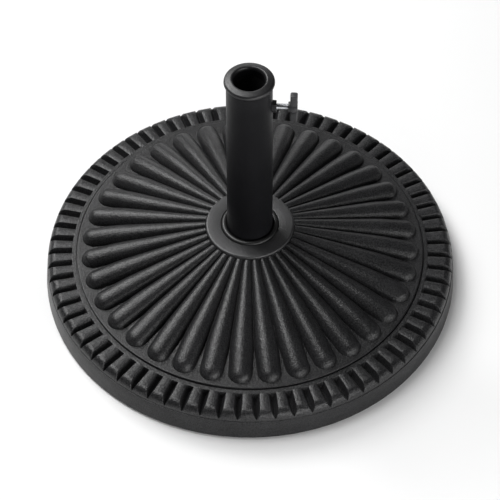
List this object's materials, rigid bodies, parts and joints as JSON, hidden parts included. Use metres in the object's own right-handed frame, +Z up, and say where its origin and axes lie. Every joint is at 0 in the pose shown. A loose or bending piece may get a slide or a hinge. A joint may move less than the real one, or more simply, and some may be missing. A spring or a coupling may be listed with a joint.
{
  "type": "parasol base",
  "caption": "Round weighted parasol base with a sunburst of raised petals, a central pole tube and a clamp screw with a T handle.",
  "frame": {"origin": "centre of the underside, on the ground under the axis of the pole tube", "axes": "+Z up along the pole tube, +X along the clamp screw towards its handle"},
  "size_m": [0.52, 0.52, 0.3375],
  "materials": {
    "cover_plastic": "satin",
    "sleeve_plastic": "satin",
    "plate_plastic": "matte",
    "cast_filling": "matte",
    "tube_steel": "satin",
    "zinc_steel": "satin",
    "insert_brass": "satin",
    "foot_rubber": "matte",
    "bead_rubber": "satin",
    "pad_plastic": "matte",
    "handle_plastic": "satin"
  },
  "bodies": {
    "base": {"top_shell": "cover_plastic", "ballast": "cast_filling", "bottom_plate": "plate_plastic", "plate_screws": "zinc_steel", "rubber_feet": "foot_rubber", "pole_tube": "tube_steel", "foot_flange": "tube_steel", "flange_bolts": "zinc_steel", "flange_washers": "zinc_steel", "flange_inserts": "insert_brass", "tube_sleeve": "sleeve_plastic", "hub_ring": "cover_plastic", "foot_bead": "bead_rubber", "top_collar": "sleeve_plastic", "screw_nut": "tube_steel", "pole_stop": "plate_plastic"},
    "pad": {"pressure_pad": "pad_plastic"},
    "screw": {"clamp_screw": "zinc_steel", "clamp_handle": "handle_plastic"}
  },
  "joints": [
    {"name": "clamp_feed", "type": "slide", "parent": "base", "child": "pad", "axis": [-1, 0, 0], "range_m": [0, 0.01]},
    {"name": "clamp_turn", "type": "hinge", "parent": "pad", "child": "screw", "pos_m": [0.04, 0, 0.295], "axis": [-1, 0, 0], "range_deg": [0, 2880]}
  ],
  "couplings": [
    {"joint": "clamp_feed", "follows": "clamp_turn", "m_per_rad": 0.00019894}
  ]
}
